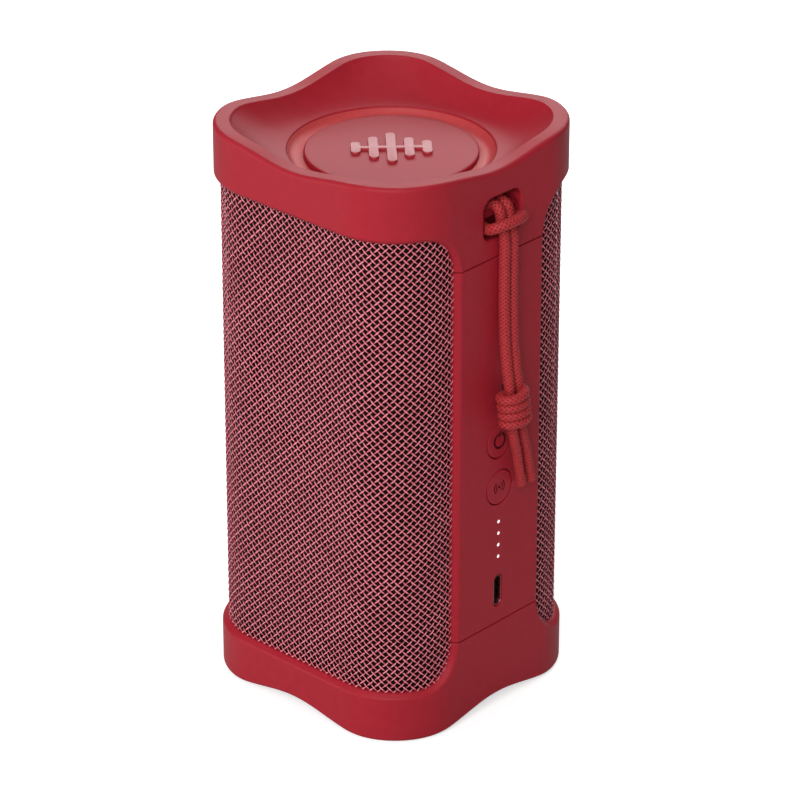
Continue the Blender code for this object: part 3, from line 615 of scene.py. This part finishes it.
def cap(name, dip, parting, upside_down):
    s = cap_stations()
    x, y, nx, ny = station(s)
    q = spine_distance(s)
    rim = HEIGHT - dip * (1 - crown(s))
    zi = parting + GAP / 2 + window_rise(q, WINDOW_SIDE, WINDOW_R)
    lip = np.maximum(0.18, 1.4 * np.clip((q - (WINDOW_SIDE - BEVEL)) / BEVEL, 0, 1))
    zo = np.maximum(zi + 0.18, parting + GAP / 2 + window_rise(q, WINDOW_SIDE - BEVEL, WINDOW_R + BEVEL))
    ang = np.arctan2(y, x)
    ix, iy = x - nx * 5.0, y - ny * 5.0
    cx, cy = (WELL_R + 0.6) * np.cos(ang), (WELL_R + 0.6) * np.sin(ang)
    top = rim - 0.8
    rows = []

    def at(d, z):
        rows.append(np.stack([x - nx * d, y - ny * d, z + 0 * x], 1))

    def bowl(u, drop=0.0):
        g = 1 - (1 - u) ** 1.7
        rows.append(np.stack([ix + (cx - ix) * u, iy + (cy - iy) * u, top + (WELL_Z - top) * g - drop], 1))

    def ring(r, z):
        rows.append(np.stack([r * np.cos(ang), r * np.sin(ang), z + 0 * x], 1))

    def bez(p0, p1, p2, n):
        for k in range(n):
            t = k / (n - 1)
            a, b, c = (1 - t) ** 2, 2 * t * (1 - t), t * t
            at(a * p0[0] + b * p1[0] + c * p2[0], a * p0[1] + b * p1[1] + c * p2[1])

    at(2.8, rim - 6.0)
    at(2.8, zi)
    soft = np.minimum(1.0, lip / 1.4)
    bez((lip + 0.35 * soft, zi), (lip, zi), (lip * 0.82, zi + (zo - zi) * 0.18), 4)
    bez((lip * 0.28, zi + (zo - zi) * 0.72), (0 * lip, zo), (0 * lip, zo + 0.12 + 0.4 * soft), 5)
    at(0, rim - 1.2)
    for k in range(1, 9):
        a = math.radians(90 * k / 8)
        at(1.2 * (1 - math.cos(a)), rim - 1.2 + 1.2 * math.sin(a))
    at(2.8, rim)
    at(4.25, rim)
    for k in range(1, 8):
        t = k / 7
        rows_d = 4.25 + 0.75 * t
        at(rows_d, rim - 0.8 * (1.9 * t * t - 0.9 * t ** 3))
    for u in np.linspace(0, 1, 25)[1:]:
        bowl(float(u))
    for k in range(1, 7):
        a = math.radians(90 * k / 6)
        ring(WELL_R + 0.6 * (1 - math.sin(a)), WELL_Z - 0.7 * (1 - math.cos(a)))
    ring(WELL_R, 154.0)
    ring(29.8, 154.0)
    bowl(0.45, 3.4)
    v = np.stack(rows, 1)          # stations x profile x 3
    if upside_down:
        v[..., 2] = HEIGHT - v[..., 2]
    n, m = v.shape[:2]
    ob = from_arrays(name, v.reshape(-1, 3), [grid_faces(n, m, True, True)], SHELL, angle=None)
    outward(ob)
    return ob


def slot_ring(x, grow, corner=3.0):
    hw, hh, mid = 7.4 + grow, 5.95 + grow, 149.55
    return [(x, u, v) for u, v in round_rect(hw, hh, corner + grow, 10, 0, mid)]


top = cap("crown_top", DIP_TOP, SPINE_TOP, False)
boolean(top, prism("boss", [(-9, 142.2), (9, 142.2), (9, 156.5), (-9, 156.5)], 29.8, 38.4, "X", SHELL), "UNION")
rings = [slot_ring(30.8, -1.2), slot_ring(30.95, -0.75), slot_ring(31.35, -0.3), slot_ring(32.0, 0.0), slot_ring(39.35, 0.0)]
for k in range(1, 7):
    a = math.radians(90 * k / 6)
    rings.append(slot_ring(39.35 + 0.65 * math.sin(a), 0.65 * (1 - math.cos(a))))
rings.append(slot_ring(40.6, 0.66))
boolean(top, loft("slot_cutter", rings, SHELL))
boolean(top, lathe("bore", [(0, -8.5), (1.6, -8.5), (1.6, 8.5), (0, 8.5)], 48, "Y", (BAR_X, 0, BAR_Z), STEEL))
smooth(top, 32, True)
put(top, "cabinet", "soft_touch_shell", ("top_cap",))

bottom = cap("crown_bottom", DIP_BOT, HEIGHT - SPINE_BOT, True)
FRAME_LOW = HEIGHT - 151.9
for i, (sx, sy) in enumerate(((1, 1), (-1, 1), (-1, -1), (1, -1))):
    c = (sx * 24.5, sy * 24.5, 0)
    boolean(bottom, lathe("boss", [(0, 8.8), (3.2, 8.8), (3.2, FRAME_LOW - GAP), (0, FRAME_LOW - GAP)], 48, "Z", c, SHELL),
            "UNION")
    boolean(bottom, lathe("pilot", [(0, 10.4), (1.5, 10.4), (1.5, FRAME_LOW + 2), (0, FRAME_LOW + 2)], 32, "Z", c, SHELL))
smooth(bottom, 32, True)
put(bottom, "cabinet", "soft_touch_shell", ("bottom_cap",))

# =============================================================== spines
LO, HI = SPINE_BOT + GAP / 2, SPINE_TOP - GAP / 2


def spine(name, sign, zmid):
    e, b = WINDOW_SIDE, WINDOW_SIDE - BEVEL
    half = [(0.0, 0.0), (b - 0.45, 0.0)]
    for k in range(1, 6):
        t = k / 6
        half.append(((1 - t) ** 2 * (b - 0.45) + 2 * t * (1 - t) * b + t * t * (b + 0.3), t * t * 0.35))
    half += [(b + 0.3, 0.35), (e - 0.25, 1.4 - 0.28)]
    for k in range(1, 5):
        t = k / 5
        half.append(((1 - t) ** 2 * (e - 0.25) + 2 * t * (1 - t) * e + t * t * e,
                     (1 - t) ** 2 * 1.12 + 2 * t * (1 - t) * 1.4 + t * t * 1.75))
    half += [(e, 1.75), (e, 2.8)]
    out = [(-a, d) for a, d in half[:0:-1]] + half
    rings = []
    for z, grow in ((LO, 0.18), (LO + 0.05, 0.08), (LO + 0.18, 0.0), (HI - 0.18, 0.0), (HI - 0.05, 0.08), (HI, 0.18)):
        rings.append([(sign * (HALF - d - (grow if d < 1.5 else 0)), a * (1 if d >= 2.0 else 1), z) for a, d in out])
    return loft(name, rings, SHELL, 32)


def bore(r, z, sign, soft=0.16):
    prof = [(0, 34.0), (r, 34.0), (r, HALF - soft)]
    for k in range(1, 5):
        a = math.radians(90 * k / 4)
        prof.append((r + soft * (1 - math.cos(a)), HALF - soft + soft * math.sin(a)))
    prof += [(r + soft, 41.0), (0, 41.0)]
    return lathe("bore", [(rr, sign * h) for rr, h in prof], 96, "X", (0, 0, z), SHELL)


front_spine = spine("control_panel", 1, 83)
for z in (POWER_Z, PAIR_Z):
    boolean(front_spine, bore(5.3, z, 1))
for z in LED_ZS:
    boolean(front_spine, bore(0.62, z, 1, 0.08))
rings = []
for xx, g in ((35.0, 0.0), (39.8, 0.0), (39.9, 0.03), (39.97, 0.1), (40.0, 0.2), (40.5, 0.2)):
    rings.append([(xx, u, w + USB_Z) for u, w in [(a, b) for a, b in obround(4.95 + g, 1.9 + g)]])
rings = [[(p[0], p[1], p[2]) for p in r] for r in rings]
boolean(front_spine, loft("usb_cut", rings, SHELL))
smooth(front_spine, 32, True)
put(front_spine, "cabinet", "soft_touch_shell", ("control_spine",))

back_spine = spine("key_panel", -1, 83)
for z in KEY_ZS.values():
    boolean(back_spine, bore(5.3, z, -1))
smooth(back_spine, 32, True)
put(back_spine, "cabinet", "soft_touch_shell", ("rear_spine",))


# =============================================================== buttons
def arc_band(r0, r1, a0, a1, n=40, cu=0.0, cv=0.0):
    """Closed outline of a ring segment with round ends, angles in degrees, in the (across, up) plane."""
    pts = []
    for k in range(n + 1):
        a = math.radians(a0 + (a1 - a0) * k / n)
        pts.append((cu + r1 * math.cos(a), cv + r1 * math.sin(a)))
    w, rm = (r1 - r0) / 2, (r0 + r1) / 2
    for k in range(1, 8):
        b = math.radians(a1 + 180 * k / 8)
        pts.append((cu + rm * math.cos(math.radians(a1)) + w * math.cos(b), cv + rm * math.sin(math.radians(a1)) + w * math.sin(b)))
    for k in range(n + 1):
        a = math.radians(a1 + (a0 - a1) * k / n)
        pts.append((cu + r0 * math.cos(a), cv + r0 * math.sin(a)))
    for k in range(1, 8):
        b = math.radians(a0 + 180 + 180 * k / 8)
        pts.append((cu + rm * math.cos(math.radians(a0)) + w * math.cos(b), cv + rm * math.sin(math.radians(a0)) + w * math.sin(b)))
    return pts


def bar_shape(u0, v0, u1, v1, w, n=10):
    """Round-ended bar between two points."""
    du, dv = u1 - u0, v1 - v0
    a = math.atan2(dv, du)
    pts = []
    for k in range(n + 1):
        b = a - math.pi / 2 + math.pi * k / n
        pts.append((u1 + w / 2 * math.cos(b), v1 + w / 2 * math.sin(b)))
    for k in range(n + 1):
        b = a + math.pi / 2 + math.pi * k / n
        pts.append((u0 + w / 2 * math.cos(b), v0 + w / 2 * math.sin(b)))
    return pts


def key(name, body, node, sign, z, marks, dish=0.0):
    prof = [(0, -dish)]
    for r in (1.0, 2.0, 3.0, 4.0):
        prof.append((r, -dish * (1 - (r / 4.6) ** 2)))
    prof.append((4.62, 0.0))
    for k in range(1, 7):
        a = math.radians(90 * k / 6)
        prof.append((4.62 + 0.38 * math.sin(a), -0.38 * (1 - math.cos(a))))
    prof += [(5.0, -3.1), (5.9, -3.1), (5.9, -4.0), (1.4, -4.0), (1.4, -4.5), (0, -4.5)]
    ob = lathe(name, [(r, sign * (HALF + h)) for r, h in prof], 128, "X", (0, 0, z), SHELL)
    for i, shape in enumerate(marks):
        # across is +Y on the +X side and -Y on the -X side, so marks read the right way round
        pts = [(sign * u, v + z) for u, v in shape]
        lo, hi = sorted((sign * (HALF - 0.40 - dish), sign * (HALF + 0.6)))
        # the walls and floor of each cut glyph take the painted recess shade
        boolean(ob, prism("mark", pts, lo, hi, "X", PAINTED_RECESS_SHADE), keep_finish=True)
    smooth(ob, 32, True)
    return put(ob, body, "soft_touch_shell", (node,))


key("power_cap", "power_key", "power_button", 1, POWER_Z,
    [arc_band(1.75, 2.45, 90 + 26, 90 + 334), bar_shape(0, 1.35, 0, 2.5, 0.6)], 0.12)
key("pairing_cap", "pairing_key", "pairing_button", 1, PAIR_Z,
    [[(0.45 * math.cos(t * math.pi / 12), 0.45 * math.sin(t * math.pi / 12)) for t in range(24)], arc_band(1.05, 1.40, -52, 52, 16), arc_band(1.05, 1.40, 128, 232, 16),
     arc_band(1.85, 2.20, -46, 46, 20), arc_band(1.85, 2.20, 134, 226, 20)], 0.06)
key("volume_up_cap", "volume_up_key", "volume_up_button", -1, KEY_ZS["volume_up"],
    [bar_shape(-1.6, 0, 1.6, 0, 0.55), bar_shape(0, -1.6, 0, 1.6, 0.55)], 0.06)
key("play_cap", "play_key", "play_button", -1, KEY_ZS["play"],
    [[(-1.7, -1.35), (0.45, 0.0), (-1.7, 1.35)], bar_shape(1.0, -1.1, 1.0, 1.1, 0.45), bar_shape(1.85, -1.1, 1.85, 1.1, 0.45)],
    0.06)
key("volume_down_cap", "volume_down_key", "volume_down_button", -1, KEY_ZS["volume_down"],
    [bar_shape(-1.6, 0, 1.6, 0, 0.55)], 0.06)

# =============================================================== lights and charging port
for i, z in enumerate(LED_ZS, 1):
    ob = lathe("led_pipe_%d" % i, [(0, 33.3), (0.5, 33.3), (0.5, 39.72), (0.44, 39.82), (0.25, 39.88), (0, 39.9)], 32, "X",
               (0, 0, z), LENS)
    put(ob, "cabinet", "light_pipe", ("led_light_pipe_%d" % i,))

rings = []
for xx, r, hl in ((33.3, 1.6, 4.6), (39.5, 1.6, 4.6), (39.65, 1.56, 4.56), (39.7, 1.47, 4.47), (39.66, 1.37, 4.37),
                  (39.5, 1.3, 4.3), (33.9, 1.3, 4.3)):
    rings.append([(xx, u, w + USB_Z) for u, w in obround(hl, r)])
port = loft("usb_c_sleeve", rings, PORT_PAINTED_REFLECTION, 35)
put(port, "cabinet", "steel", ("usb_c_shell",))
tongue = prism("usb_c_blade", round_rect(0.35, 3.35, 0.2, 4, 0, USB_Z), 34.2, 38.6, "X", BLACK)
for i in range(8):
    zc = USB_Z - 2.6 + i * 5.2 / 7
    boolean(tongue, prism("pad", round_rect(0.39, 0.17, 0.05, 2, 0, zc), 36.4, 38.2, "X", GOLD), "UNION")
put(tongue, "cabinet", "black_plastic", ("usb_c_tongue",))


# =============================================================== woven grilles
PITCH_W = 1.54
YARN_W, YARN_T, WAVE = 0.230, 0.140, 0.135
DEEP = 2.0                      # inset of the weave's middle


def weave(prefix, back, seed):
    rng = np.random.RandomState(seed)
    ext = 0.30
    s0, s1 = WINDOW_SIDE - ext, PERIM / 2 - WINDOW_SIDE + ext
    off = 0.0 if back else PERIM / 2
    st = np.linspace(s0 - 2, s1 + 2, 4000)
    x, y, nx, ny = station(st + off)
    px, py = x - nx * DEEP, y - ny * DEEP
    wt = np.concatenate([[0], np.cumsum(np.hypot(np.diff(px), np.diff(py)))])
    mid_w = np.interp((s0 + s1) / 2, st, wt)
    mid_z = (SPINE_TOP + SPINE_BOT) / 2

    def inside(w, z):
        s = np.interp(w + mid_w, wt, st)
        q = spine_distance(s)
        rise = window_rise(q, WINDOW_SIDE - ext, WINDOW_R + ext)
        ok = (s >= s0) & (s <= s1)
        return ok & (z + mid_z <= SPINE_TOP + rise) & (z + mid_z >= SPINE_BOT - rise)

    W2, H2 = (np.interp(s1, st, wt) - mid_w), (SPINE_TOP - SPINE_BOT) / 2 + WINDOW_R + ext
    reach = (W2 + H2) / math.sqrt(2) + PITCH_W
    count = int(reach / PITCH_W) + 1
    sections = 8
    th = 2 * np.pi * (np.arange(sections) + 0.5) / sections
    built = {}
    for fam in (0, 1):
        for j in range(-count, count + 1):
            c = j * PITCH_W + rng.uniform(-0.015, 0.015)
            fine = np.arange(-reach, reach, PITCH_W / 16)
            if fam == 0:
                w, z = (fine + c) / math.sqrt(2), (fine - c) / math.sqrt(2)
            else:
                w, z = (c + fine) / math.sqrt(2), (c - fine) / math.sqrt(2)
            ok = inside(w, z)
            if ok.sum() < 6:
                continue
            a0, a1 = fine[ok][0], fine[ok][-1]
            k0, k1 = math.ceil(a0 / (PITCH_W / 4) + 0.3), math.floor(a1 / (PITCH_W / 4) - 0.3)
            a = np.concatenate([[a0], np.arange(k0, k1 + 1) * PITCH_W / 4, [a1]])
            sgn = 1.0 if fam == 0 else -1.0
            h = sgn * WAVE * rng.uniform(0.92, 1.08) * np.cos(np.pi * (a / PITCH_W + j))
            cc = c + 0.015 * np.sin(a / 9.0 + rng.uniform(0, 6.28))
            if fam == 0:
                w, z = (a + cc) / math.sqrt(2), (a - cc) / math.sqrt(2)
            else:
                w, z = (cc + a) / math.sqrt(2), (cc - a) / math.sqrt(2)
            s = np.interp(w + mid_w, wt, st)
            sx, sy, snx, sny = station(s + off)
            nrm = np.stack([snx, sny, 0 * snx], 1)
            p = np.stack([sx, sy, z + mid_z], 1) - nrm * (DEEP - h)[:, None]
            t = np.gradient(p, axis=0)
            t /= np.linalg.norm(t, axis=1)[:, None]
            b = np.cross(t, nrm)
            b /= np.linalg.norm(b, axis=1)[:, None]
            n2 = np.cross(b, t)
            hw = YARN_W * rng.uniform(0.94, 1.05)
            ring = p[:, None] + hw * np.cos(th)[None, :, None] * b[:, None] + YARN_T * np.sin(th)[None, :, None] * n2[:, None]
            half = 0 if j < 0 else 1
            # painted light: the top face takes the painted highlight except where the yarn passes under, which gets the
            # half shade; the upper sides take the half shade only on high crests, and all other sides, the undersides
            # and the ends take the painted shade
            up = 0.5 * (h[1:] + h[:-1]) / WAVE
            tone = rng.choice(2)
            top = np.where(up > -0.15, tone, 2 + tone)
            side = np.where(up > 0.35, 2 + tone, 4)
            face = np.full((len(up), sections), 4)
            face[:, 1], face[:, 0], face[:, 2] = top, side, side
            built.setdefault((fam, half), []).append((ring, face.ravel()))
    out = []
    for (fam, half), threads in sorted(built.items()):
        co, quads, caps, qm, cm, base = [], [], [], [], [], 0
        for ring, tone in threads:
            n = len(ring)
            co.append(ring.reshape(-1, 3))
            f = grid_faces(n, sections, False, True, base)
            quads.append(f)
            qm.append(tone)
            k = np.arange(sections) + base
            caps.append(np.stack([k[::-1], k + (n - 1) * sections]))
            cm.append(np.full(2, 4))
            base += n * sections
        co = np.vstack(co)
        q = np.vstack(quads)
        cp = np.vstack(caps)
        ob = from_arrays("%s_yarns_%s%d" % (prefix, "ab"[fam], half + 1), co, [q[:, ::-1], cp[:, ::-1]], YARNS,
                         np.concatenate(qm + cm), angle=None)
        out.append(ob)
    return out


for prefix, back, seed in (("front", False, 11), ("back", True, 23)):
    for ob in weave(prefix, back, seed):
        put(ob, "cabinet", "woven_mesh", (prefix + "_grille",))

# =============================================================== passive radiators
for prefix, up in (("top", True), ("bottom", False)):
    def zz(h):
        return h if up else HEIGHT - h
    prof = [(0, PLATE_TOP)]
    for r in (6, 12, 18, 22.6):
        prof.append((r, PLATE_TOP))
    for k in range(1, 8):
        a = math.radians(90 * k / 7)
        prof.append((PLATE_R - 0.55 * (1 - math.sin(a)), PLATE_TOP - 0.55 * (1 - math.cos(a))))
    prof += [(PLATE_R, 153.6), (PLATE_R - 0.4, 153.2), (22.0, 153.0), (0, 153.0)]
    ob = lathe(prefix + "_disc", [(r, zz(h)) for r, h in prof], 192, "Z", (0, 0, 0), SHELL)
    smooth(ob, 32, True)
    put(ob, prefix + "_radiator", "soft_touch_shell", (prefix + "_radiator_plate",))
    # roll surround in sectors, each spanning from the cabinet to the disc
    upper = [(23.62, 154.98), (24.1, 154.82), (24.7, 154.72), (25.3, 154.74), (25.85, 154.86), (26.35, 155.07),
             (26.8, 155.34), (27.2, 155.68), (27.5, 156.02), (27.72, 156.33), (27.88, 156.58), (27.96, 156.62)]
    lower = [(27.65, 153.7), (29.3, 153.7), (29.3, 152.9), (26.8, 152.9), (26.1, 153.3), (25.4, 153.8), (24.6, 154.0),
             (23.62, 154.1)]
    ring = upper + lower
    SECTORS, STEPS = 32, 6
    for k in range(SECTORS):
        a0, a1 = 2 * math.pi * k / SECTORS, 2 * math.pi * (k + 1) / SECTORS
        rings = []
        for i in range(STEPS + 1):
            a = a0 + (a1 - a0) * i / STEPS
            rings.append([(r * math.cos(a), r * math.sin(a), zz(h)) for r, h in ring])
        ob = loft("%s_surround_%02d" % (prefix, k + 1), rings, SURROUND, 35)
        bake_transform(ob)
        if k == 0:
            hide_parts(prefix + "_radiator_surround")

# emblem: five level bars joined by a thin strip, rounded all over the top edge
bars = [(-9.6, 3.6), (-4.8, 7.0), (0.0, 9.6), (4.8, 6.2), (9.6, 4.2)]
BH, ST = 1.35, 0.7


def emblem_outline(grow):
    up_pts = []
    bh, stp = BH + grow, ST + grow
    for i, (cx, hh) in enumerate(bars):
        for k in range(13):
            a = math.pi - math.pi * k / 12
            up_pts.append((cx + bh * math.cos(a), hh - BH + bh * math.sin(a)))
    out = []
    for i in range(len(bars)):
        seg = up_pts[13 * i:13 * i + 13]
        out += [(seg[0][0], stp)] + seg + [(seg[-1][0], stp)]
    out += [(x, -y) for x, y in out[::-1]]
    c, s = math.cos(math.radians(45)), math.sin(math.radians(45))
    return [(x * c - y * s, x * s + y * c) for x, y in out]


rings = []
for z, g in ((PLATE_TOP + 0.02, 0.0), (PLATE_TOP + 0.55, 0.0), (PLATE_TOP + 0.66, -0.03), (PLATE_TOP + 0.73, -0.09),
             (PLATE_TOP + 0.75, -0.18)):
    rings.append([(x, y, z) for x, y in emblem_outline(g)])
emblem = loft("level_bars_emblem", rings, EMBLEM, 35)
put(emblem, "top_radiator", "soft_touch_shell", ("top_radiator_emblem",))

# =============================================================== carried-over nodes
CARRY = {
    "enclosure": BLACK, "top_radiator_frame": BLACK, "bottom_radiator_frame": BLACK, "battery_tray": BLACK,
    "battery_cell_a": CELL, "battery_cell_b": CELL, "main_board": PCB, "control_board": PCB, "key_board": PCB,
    "strap_bar": SHELL,
}
for n in ("power", "pairing", "volume_up", "play", "volume_down"):
    CARRY[n + "_switch"] = BLACK
for i in range(1, 5):
    CARRY["frame_screw_%d" % i] = STEEL
for n in ("front", "rear"):
    CARRY.update({n + "_driver_basket": BLACK, n + "_driver_surround": RUBBER, n + "_driver_cone": CONE,
                  n + "_driver_dust_cap": CONE, n + "_voice_coil": COPPER, n + "_driver_magnet": STEEL})
for n, m in CARRY.items():
    ob = NODES[n]
    if not ob.material_slots:
        ob.data.materials.append(m)
    for sl in ob.material_slots:
        sl.material = m

# =============================================================== floor and light
def seen_white(nt, color, lit, seen):
    """Shader that lights the scene with one strength and shows plain white behind the object."""
    lp = nt.nodes.new("ShaderNodeLightPath")
    mr = nt.nodes.new("ShaderNodeMapRange")
    mr.inputs["To Min"].default_value = lit
    mr.inputs["To Max"].default_value = seen
    nt.links.new(lp.outputs["Is Camera Ray"], mr.inputs["Value"])
    return mr


floor_mat, nt, p = principled("floor")
p.inputs["Base Color"].default_value = (0.64, 0.64, 0.64, 1)
p.inputs["Roughness"].default_value = 0.9
p.inputs["Specular IOR Level"].default_value = 0.1
p.inputs["Emission Color"].default_value = (1, 1, 1, 1)
# the floor is lit near the object and shown ever whiter away from it, so that no edge or horizon is seen
far = nt.nodes.new("ShaderNodeVectorMath")
far.operation = "LENGTH"
tc = nt.nodes.new("ShaderNodeTexCoord")
nt.links.new(tc.outputs["Object"], far.inputs[0])
grow = nt.nodes.new("ShaderNodeMapRange")
grow.inputs["From Min"].default_value = 0.12
grow.inputs["From Max"].default_value = 0.60
grow.inputs["To Min"].default_value = 0.62
grow.inputs["To Max"].default_value = 1.0
nt.links.new(far.outputs["Value"], grow.inputs["Value"])
times = nt.nodes.new("ShaderNodeMath")
times.operation = "MULTIPLY"
nt.links.new(seen_white(nt, None, 0.0, 1.0).outputs["Result"], times.inputs[0])
nt.links.new(grow.outputs["Result"], times.inputs[1])
nt.links.new(times.outputs["Value"], p.inputs["Emission Strength"])
me = bpy.data.meshes.new("floor")
me.from_pydata([(-6, -6, -0.0002), (6, -6, -0.0002), (6, 6, -0.0002), (-6, 6, -0.0002)], [], [(0, 1, 2, 3)])
me.materials.append(floor_mat)
floor = bpy.data.objects.new("floor", me)
bpy.context.scene.collection.objects.link(floor)

world = bpy.data.worlds.new("world")
world.use_nodes = True
bg = world.node_tree.nodes["Background"]
bg.inputs["Color"].default_value = (1.0, 1.0, 1.0, 1)
world.node_tree.links.new(seen_white(world.node_tree, None, 0.06, 1.0).outputs["Result"], bg.inputs["Strength"])
bpy.context.scene.world = world
bpy.context.scene.view_settings.view_transform = "Standard"


def area(name, az, el, dist, size, power, size_y=None, aim=(0, 0, 0.08)):
    """Softbox seen from the object at an azimuth and elevation, as the camera's are measured."""
    li = bpy.data.lights.new(name, "AREA")
    li.shape = "RECTANGLE"
    li.size, li.size_y = size, size_y or size
    li.energy = power
    ob = bpy.data.objects.new(name, li)
    bpy.context.scene.collection.objects.link(ob)
    a, e = math.radians(az), math.radians(el)
    d = Vector((math.sin(a) * math.cos(e), -math.cos(a) * math.cos(e), math.sin(e)))
    ob.location = Vector(aim) + d * dist
    ob.rotation_euler = (-d).to_track_quat("-Z", "Y").to_euler()
    return ob


area("key_box", 30, 34, 1.3, 0.8, 14.0)
area("low_fill", -36, 6, 1.3, 0.7, 6.0, 0.5)
area("back_box", 212, 30, 1.3, 1.2, 11.0, 0.6)
area("top_box", 0, 88, 1.2, 1.1, 3.5)
